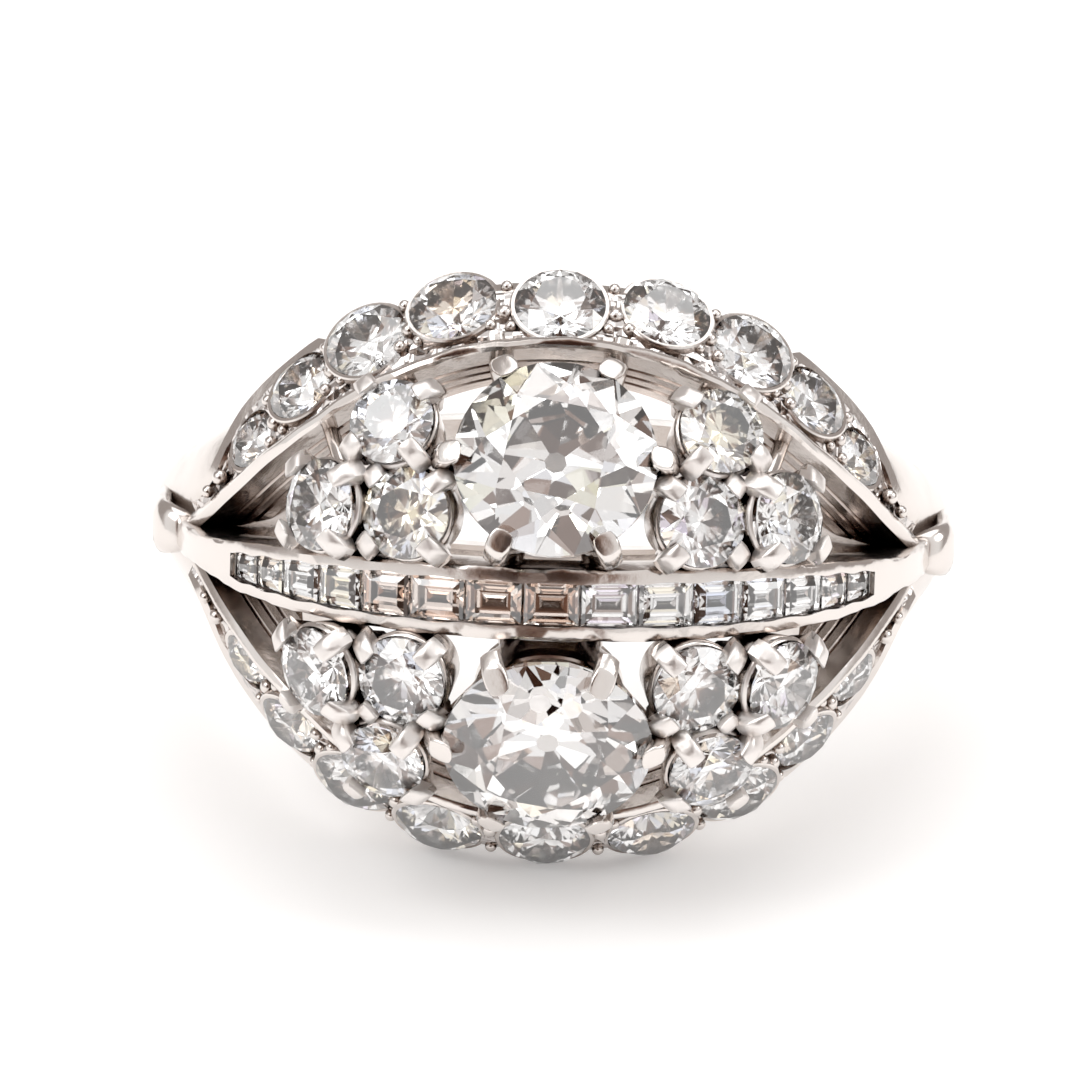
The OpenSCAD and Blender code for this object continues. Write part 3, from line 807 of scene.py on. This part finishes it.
# Each stone: its place in the corner, x, y and z, diameter, and lean in degrees to the side and up the head
CORNER = [("near", 3.68, 2.12, 14.15, 2.20, 22, 12), ("side", 5.85, 2.12, 13.25, 2.20, 45, 15),
          ("far", 4.10, 4.30, 13.46, 2.10, 22, 30)]
QUARTERS = [("upper_left", -1, 1), ("upper_right", 1, 1), ("lower_left", -1, -1), ("lower_right", 1, -1)]


def corner_lean(ax, ay):
    """The direction in which a stone of the upper right corner looks."""
    return Vector((math.tan(math.radians(ax)), math.tan(math.radians(ay)), 1)).normalized()


def corner_stand(row, sx, sy):
    """Where a stone stands, in the corner on the sides sx and sy."""
    _, x, y, z, _, ax, ay = row
    n = corner_lean(ax, ay)
    return stand(Vector((sx * x, sy * y, z)), Vector((sx * n.x, sy * n.y, n.z)))


# The heads of the claws catch on cloth, and small hard knocks have taken their polish
# Its colours are painted shade too, lighter than the plain polish's and dark only right beside other parts
worn_platinum = polished_metal(
    "worn_platinum", wear_mm=0.5, wear_depth=0.02, shade_reach_mm=0.5, dull=0.22,
    painted_shade_colours=[(0.05, "#4A3A30"), (0.25, "#B8AEA8"), (0.5, "#E4DEDA")])
finishes = [polished_platinum, worn_platinum, lightly_shaded_seat_platinum]
for label, sx, sy in QUARTERS:
    forms = []
    for row in CORNER:
        r = row[4] / 2 + seat_gap
        place = corner_stand(row, sx, sy)
        cup = turned([(r * 0.86, -0.36), (r + 0.01, -0.16), (r + 0.07, -0.2), (r + 0.08, -0.3),
                      (r * 0.84, -1.5), (r * 0.8, -1.6), (r * 0.7, -1.6), (r * 0.68, -1.5)], 40)
        forms.append(place_form(cup, place))
        claws = [claw(r, a, thick=0.27, foot=0.75, foot_r=r * 0.9, top=0.38, squareness=0.6, dome=1,
                      lean_out=0.57) for a in range(45, 360, 90)]
        forms += [place_form(form, place) for form in claws]
    # Wires from the cups of the far and the side stone to the border, and to the channel's wall under them
    near_cup, side_cup, far_cup = [Vector((x, y, z)) - 1.3 * corner_lean(ax, ay)
                                   for _, x, y, z, _, ax, ay in CORNER]
    near_foot, side_foot = [Vector((p.x, 0.5, arch_z + math.sqrt((arch_r - 0.8) ** 2 - p.x ** 2)))
                            for p in (near_cup, side_cup)]
    for p, q in ((far_cup, Vector((3.7, 5.2, 10.4))), (far_cup, near_foot), (side_cup, side_foot),
                 (side_cup, Vector((5.8, 3.8, 9.6)))):
        forms.append(wire(Vector((sx * p.x, sy * p.y, p.z)), Vector((sx * q.x, sy * q.y, q.z)), 0.2))
    form = join_forms(forms)
    for row in CORNER:
        r = row[4] / 2 + seat_gap
        place = corner_stand(row, sx, sy)
        # The heads of the claws, and the inside of the cup, which takes the lighter seat copy with faint
        # painted shade
        mark_faces(form, place, finishes.index(worn_platinum),
                   lambda p: p.z > -0.1 and r - 0.3 < p.xy.length < r + 0.6)
        mark_faces(form, place, finishes.index(lightly_shaded_seat_platinum),
                   lambda p: -1.55 < p.z < -0.18 and p.xy.length < r * 0.9 + 0.1 * p.z)
    make_piece("collets_" + label, form, finishes, ["ring_mount"], crease=60)


# Round stones. Diamonds ground on a wheel, one flat facet after another: a table, eight stars, eight kites
# and sixteen halves above the girdle, eight mains and sixteen halves below it.
def grind(form, a, b, c):
    """Grinds one flat facet through three points off a convex stone that holds the origin."""
    n = (b - a).cross(c - a).normalized()
    if n.dot(a) < 0:
        n = -n
    bmesh.ops.bisect_plane(form, geom=form.verts[:] + form.edges[:] + form.faces[:], dist=1e-6, plane_co=a,
                           plane_no=n, clear_outer=True)
    bmesh.ops.holes_fill(form, edges=[e for e in form.edges if e.is_boundary])


def cut_round(table, crown_angle, star, pavilion, lower, culet, girdle):
    """A round stone of diameter 1 whose girdle lies on the XY plane.

    Table, culet, pavilion depth and girdle are shares of the diameter; star and lower are the facets' reach.
    """
    form = bmesh.new()
    bmesh.ops.create_cone(form, cap_ends=True, segments=48, radius1=0.5, radius2=0.5, depth=1.2)

    def at(r, degrees, z):
        return Vector((r * math.cos(math.radians(degrees)), r * math.sin(math.radians(degrees)), z))
    rise = math.tan(math.radians(crown_angle))
    top = girdle / 2
    tip = -girdle / 2
    corner = table / 2
    crest = top + (0.5 - corner) * rise
    star_r = mix(corner * math.cos(math.pi / 8), 0.5, star)
    star_z = top + (0.5 - star_r * math.cos(math.pi / 8)) * rise
    depth = -pavilion
    low_r = mix(0.5, 0.0, lower)
    low_z = tip + (depth - tip) * (1 - low_r * math.cos(math.pi / 8) / 0.5)
    for k in range(8):
        a = 45 * k
        grind(form, at(0.5, a, top), at(corner, a, crest), at(star_r, a + 22.5, star_z))
        grind(form, at(corner, a, crest), at(corner, a + 45, crest), at(star_r, a + 22.5, star_z))
        for s in (-1, 1):
            grind(form, at(0.5, a, top), at(star_r, a + s * 22.5, star_z), at(0.5, a + s * 22.5, top + 0.004))
            grind(form, at(0.5, a, tip), at(low_r, a + s * 22.5, low_z), at(0.5, a + s * 22.5, tip - 0.004))
        grind(form, at(0.5, a, tip), at(low_r, a + 22.5, low_z), at(0.001, a, depth))
    grind(form, at(0, 0, crest), at(0.1, 0, crest), at(0.1, 90, crest))
    flat = depth + culet / 2 * (tip - depth) / 0.5
    grind(form, at(0, 0, flat), at(0.1, 0, flat), at(0.1, 90, flat))
    bmesh.ops.recalc_face_normals(form, faces=form.faces)
    return form


def diamond(name, tints, film):
    """Polished diamond: clear, refractive index 2.42, dulled a little by a film of skin oil.

    Small tints by facet stand for the fire that a real stone splits from the light.
    """
    stone = bpy.data.materials.new(name)
    stone.use_nodes = True
    tree = stone.node_tree
    shader = tree.nodes["Principled BSDF"]
    shader.inputs["Transmission Weight"].default_value = 1
    shader.inputs["IOR"].default_value = 2.42
    shader.inputs["Roughness"].default_value = film
    fire = add_node(tree, "ShaderNodeAttribute", attribute_name="fire").outputs["Fac"]
    tint = add_node(tree, "ShaderNodeValToRGB", {"Fac": fire}, stops=tints)
    tint.color_ramp.interpolation = "CONSTANT"
    tree.links.new(tint.outputs["Color"], shader.inputs["Base Color"])
    return stone


# The place in the first two ramps of the tint for the facet that cuts off the point; its grey is painted
# shade
shaded_point_facet = 0.999
# Old-cut diamond, cut by hand into broad facets that flash one by one
old_cut_diamond = diamond("old_cut_diamond", [
    (0.0, "#FFFFFF"), (0.5, "#FAF4F0"), (0.7, "#F4F1D4"), (0.82, "#FFFDF8"), (0.92, "#F0F4FF"),
    (0.96, "#FFEFD0"), (shaded_point_facet, "#8C8580")], film=0.03)
# Brilliant-cut diamond, with more and finer facets and livelier fire
brilliant_diamond = diamond("brilliant_cut_diamond", [
    (0.0, "#FFFFFF"), (0.6, "#FBFBFA"), (0.84, "#FFF0CC"), (0.9, "#FFE2C4"), (0.94, "#DCE6FF"),
    (0.98, "#EEDFFF"), (shaded_point_facet, "#C8C4C0")], film=0.06)
# Cognac diamond: a few of the channel's stones are a light brown
cognac_diamond = diamond("cognac_diamond", [
    (0.0, "#F6E6DC"), (0.4, "#E3BFA8"), (0.7, "#C99478"), (0.88, "#FFF2E6")], film=0.05)


def tint_facets(form, seed):
    """Gives each facet its own number, which the stone's material turns into a trace of colour."""
    rolls = random.Random(seed)
    layer = form.faces.layers.float.new("fire")
    for face in form.faces:
        face[layer] = rolls.random()
        # The small facet straight under the table lets the light out, so it is tinted grey as painted shade
        if face.normal.z < -0.999:
            face[layer] = 1


def set_stone(name, pattern, place, d, twist, seed, material, node):
    """A copy of a cut pattern at its true size in its seat."""
    form = bmesh.new()
    form.from_mesh(pattern)
    tint_facets(form, seed)
    place_form(form, place @ Matrix.Rotation(math.radians(twist), 4, "Z") @ Matrix.Scale(d, 4))
    make_piece(name, form, material, [node], crease=0)


old_cut = bpy.data.meshes.new("old_cut_pattern")
cut_round(table=0.52, crown_angle=32.5, star=0.42, pavilion=0.42, lower=0.5, culet=0.1,
          girdle=0.03).to_mesh(old_cut)
brilliant_cut = bpy.data.meshes.new("brilliant_cut_pattern")
cut_round(table=0.56, crown_angle=34.0, star=0.5, pavilion=0.42, lower=0.75, culet=0.012,
          girdle=0.03).to_mesh(brilliant_cut)

# The two large stones aren't a perfect pair: the lower one is a little larger
for label, sy, size in (("upper", 1, 1), ("lower", -1, 1.03)):
    set_stone("large_diamond_" + label, old_cut, main_stand(sy), main_d * size, twist=12, seed=3 + sy,
              material=old_cut_diamond, node="main_stone_" + label)
# Each small stone was set as it came, at a turn of its own
seed = 20
for label, sx, sy in QUARTERS:
    for row in CORNER:
        seed += 1
        spot = label + "_" + row[0]
        set_stone("claw_set_diamond_" + spot, brilliant_cut, corner_stand(row, sx, sy), row[4] * full_size,
                  twist=7 * seed, seed=seed, material=brilliant_diamond,
                  node="corner_stone_" + spot)
for label, sy in HALVES:
    for i, (place, _, d) in enumerate(border_stands()):
        seed += 1
        spot = label + "_" + str(i + 1)
        p = place.translation
        n = place.to_3x3().col[2]
        place = stand(Vector((p.x, sy * p.y, p.z)), Vector((n.x, sy * n.y, n.z)))
        set_stone("bead_set_diamond_" + spot, brilliant_cut, place, d * full_size, twist=11 * seed, seed=seed,
                  material=brilliant_diamond, node="border_stone_" + spot)
for pattern in (old_cut, brilliant_cut):
    bpy.data.meshes.remove(pattern)

# Channel stones. Fifteen small step-cut diamonds, square or nearly so, with long flat facets in steps that
# run parallel to the girdle. The ones towards the ends taper with the channel.

# The girdle is a straight edge this high, and its top lies this far under the top of the arch
girdle_h = 0.06
girdle_drop = 0.2
# Each step: how far in from the girdle and how far above or below it, and how far it leans in, in degrees
CROWN_STEPS = [(0, 0, 57), (0.07, 0.05, 68)]
PAVILION_STEPS = [(0, 0, -30), (0.1, -0.22, -48), (0.24, -0.4, -62)]
table_z = 0.12
keel_z = -0.62
COGNAC_STONES = (-3, -2, -1, 0)


def grind_sides(stone, lengthwise, slope, out, z, rise):
    """Grinds a pair of facets on two sides of a stone, from out at height z, leaning in by rise degrees."""
    lean_in = math.tan(math.radians(rise))
    for s in (-1, 1):
        if lengthwise:
            p = Vector((s * out, 0, z))
            grind(stone, p, p + Vector((0, 1, 0)), p + Vector((-s * lean_in, 0, 1)))
        else:
            p = Vector((0, s * out, z))
            grind(stone, p, p + Vector((1, s * slope, 0)), p + Vector((0, -s * lean_in, 1)))


stones = []
for k in range(-last_stone, last_stone + 1):
    a = channel_angle(k)
    length = CHANNEL_L[abs(k)]
    w_near, w_far = (groove_w(a + s * length / 2 / arch_r) - 2 * seat_gap for s in (-1, 1))
    slope = (w_far - w_near) / 2 / length
    half_w = (w_near + w_far) / 4
    # The steps of the narrow stones are smaller
    small = min(1.0, half_w / 0.5)
    sides = ((True, length / 2), (False, half_w))
    stone = bmesh.new()
    bmesh.ops.create_cube(stone, size=2)
    for lengthwise, out in sides:
        grind_sides(stone, lengthwise, slope, out, 0, 0)
    for lengthwise, out in sides:
        for inset, z, rise in CROWN_STEPS:
            grind_sides(stone, lengthwise, slope, out - inset * small, z * small, rise)
        for inset, z, rise in PAVILION_STEPS:
            grind_sides(stone, lengthwise, slope, out - inset * small, z * small - girdle_h, rise)
    for z in (table_z, keel_z):
        grind(stone, Vector((0, 0, z)), Vector((1, 0, z)), Vector((0, 1, z)))
    bmesh.ops.recalc_face_normals(stone, faces=stone.faces)
    tint_facets(stone, 90 + k)
    for face in stone.faces:
        face.material_index = 1 if k in COGNAC_STONES else 0
    stones.append(place_form(stone, Matrix.Translation((0, 0, arch_z)) @ Matrix.Rotation(a, 4, "Y")
                             @ Matrix.Translation((0, 0, arch_r - girdle_drop))))
make_piece("step_cut_diamonds", join_forms(stones), [brilliant_diamond, cognac_diamond],
           ["channel_stones"], crease=0)
